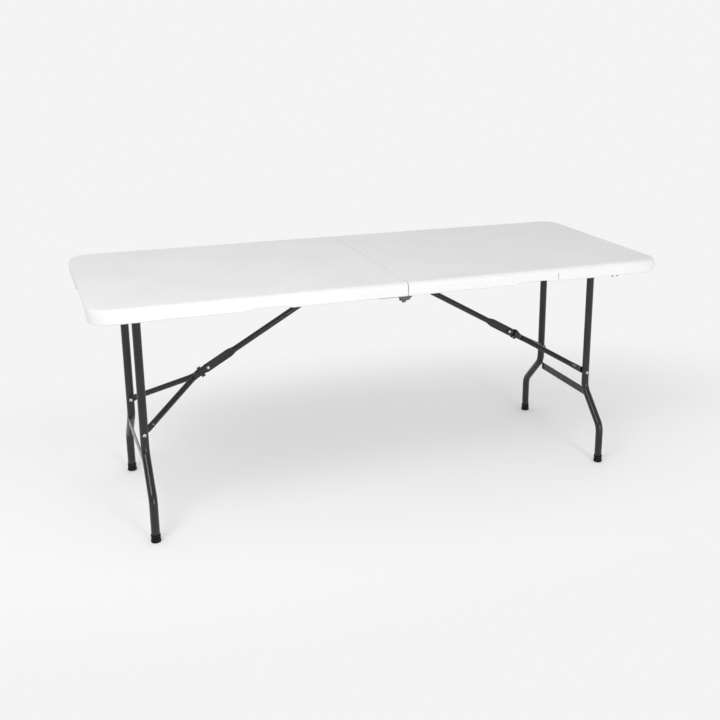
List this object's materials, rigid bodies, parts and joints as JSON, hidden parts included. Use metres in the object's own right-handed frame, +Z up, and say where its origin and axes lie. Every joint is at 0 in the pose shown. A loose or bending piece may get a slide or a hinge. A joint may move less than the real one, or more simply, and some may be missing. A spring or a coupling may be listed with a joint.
{
  "type": "folding table",
  "caption": "Folding table with a white moulded top in two hinged halves, on dark tubular leg frames held open by folding braces with sliding lock rings.",
  "frame": {"origin": "on the floor under the middle of the table", "axes": "+X along the table to the right end, -Y the front edge, +Z up"},
  "size_m": [1.8, 0.74, 0.74],
  "materials": {
    "moulded_plastic": "white HDPE with a fine pebble grain",
    "coated_steel": "dark grey satin powder coat",
    "rail_steel": "dark grey satin powder coat on sheet",
    "zinc_rivet": "bright zinc",
    "hinge_steel": "dull zinc plate",
    "foot_rubber": "black rubber",
    "black_plastic": "black nylon"
  },
  "bodies": {
    "left_half": {"left_top": "moulded_plastic", "left_front_rail": "rail_steel", "left_back_rail": "rail_steel", "left_front_hinge_leaf": "hinge_steel", "left_back_hinge_leaf": "hinge_steel", "left_rail_screws": "zinc_rivet", "left_leg_pivot_bushes": "black_plastic", "left_brace_pivot_bushes": "black_plastic"},
    "left_leg_frame": {"left_leg_pivot_tube": "coated_steel", "left_front_leg": "coated_steel", "left_back_leg": "coated_steel", "left_cross_stay": "coated_steel", "left_front_foot_cap": "foot_rubber", "left_back_foot_cap": "foot_rubber", "left_leg_rivets": "zinc_rivet"},
    "left_brace_link": {"left_brace_pivot_tube": "coated_steel", "left_brace_link": "coated_steel", "left_link_rivet": "coated_steel", "left_joint_rivet": "zinc_rivet"},
    "left_brace_arms": {"left_front_brace_arm": "coated_steel", "left_back_brace_arm": "coated_steel", "left_arm_rivets": "zinc_rivet"},
    "left_lock_ring": {"left_lock_ring": "coated_steel"},
    "right_half": {"right_top": "moulded_plastic", "right_front_rail": "rail_steel", "right_back_rail": "rail_steel", "right_front_hinge_leaf": "hinge_steel", "right_back_hinge_leaf": "hinge_steel", "right_rail_screws": "zinc_rivet", "right_leg_pivot_bushes": "black_plastic", "right_brace_pivot_bushes": "black_plastic", "front_hinge_pin": "hinge_steel", "back_hinge_pin": "hinge_steel", "locating_studs": "foot_rubber"},
    "right_leg_frame": {"right_leg_pivot_tube": "coated_steel", "right_front_leg": "coated_steel", "right_back_leg": "coated_steel", "right_cross_stay": "coated_steel", "right_front_foot_cap": "foot_rubber", "right_back_foot_cap": "foot_rubber", "right_leg_rivets": "zinc_rivet"},
    "right_brace_link": {"right_brace_pivot_tube": "coated_steel", "right_brace_link": "coated_steel", "right_link_rivet": "coated_steel", "right_joint_rivet": "zinc_rivet"},
    "right_brace_arms": {"right_front_brace_arm": "coated_steel", "right_back_brace_arm": "coated_steel", "right_arm_rivets": "zinc_rivet"},
    "right_lock_ring": {"right_lock_ring": "coated_steel"}
  },
  "joints": [
    {"name": "half_fold", "type": "hinge", "parent": "right_half", "child": "left_half", "pos_m": [0, 0, 0.678], "axis": [0, -1, 0], "range_deg": [0, 90]},
    {"name": "left_leg_fold", "type": "hinge", "parent": "left_half", "child": "left_leg_frame", "pos_m": [-0.758, 0, 0.706], "axis": [0, -1, 0], "range_deg": [0, 90]},
    {"name": "left_link_turn", "type": "hinge", "parent": "left_half", "child": "left_brace_link", "pos_m": [-0.036, 0, 0.712], "axis": [0, 1, 0], "range_deg": [0, 29.55]},
    {"name": "left_arm_turn", "type": "hinge", "parent": "left_brace_link", "child": "left_brace_arms", "pos_m": [-0.53268, 0, 0.42651], "axis": [0, -1, 0], "range_deg": [0, 179.09]},
    {"name": "left_ring_slide", "type": "slide", "parent": "left_brace_link", "child": "left_lock_ring", "axis": [0.867, 0, 0.4983], "range_m": [0, 0.22]},
    {"name": "right_leg_fold", "type": "hinge", "parent": "right_half", "child": "right_leg_frame", "pos_m": [0.758, 0, 0.706], "axis": [0, 1, 0], "range_deg": [0, 90]},
    {"name": "right_link_turn", "type": "hinge", "parent": "right_half", "child": "right_brace_link", "pos_m": [0.036, 0, 0.712], "axis": [0, -1, 0], "range_deg": [0, 29.55]},
    {"name": "right_arm_turn", "type": "hinge", "parent": "right_brace_link", "child": "right_brace_arms", "pos_m": [0.53268, 0, 0.42651], "axis": [0, 1, 0], "range_deg": [0, 179.09]},
    {"name": "right_ring_slide", "type": "slide", "parent": "right_brace_link", "child": "right_lock_ring", "axis": [-0.867, 0, 0.4983], "range_m": [0, 0.22]}
  ],
  "couplings": [
    {"joint": "left_link_turn", "follows": "left_leg_fold", "ratio": 0.3283},
    {"joint": "left_arm_turn", "follows": "left_leg_fold", "ratio": 1.9899},
    {"joint": "left_ring_slide", "follows": "left_leg_fold", "m_per_rad": 0.14006},
    {"joint": "right_link_turn", "follows": "right_leg_fold", "ratio": 0.3283},
    {"joint": "right_arm_turn", "follows": "right_leg_fold", "ratio": 1.9899},
    {"joint": "right_ring_slide", "follows": "right_leg_fold", "m_per_rad": 0.14006}
  ]
}
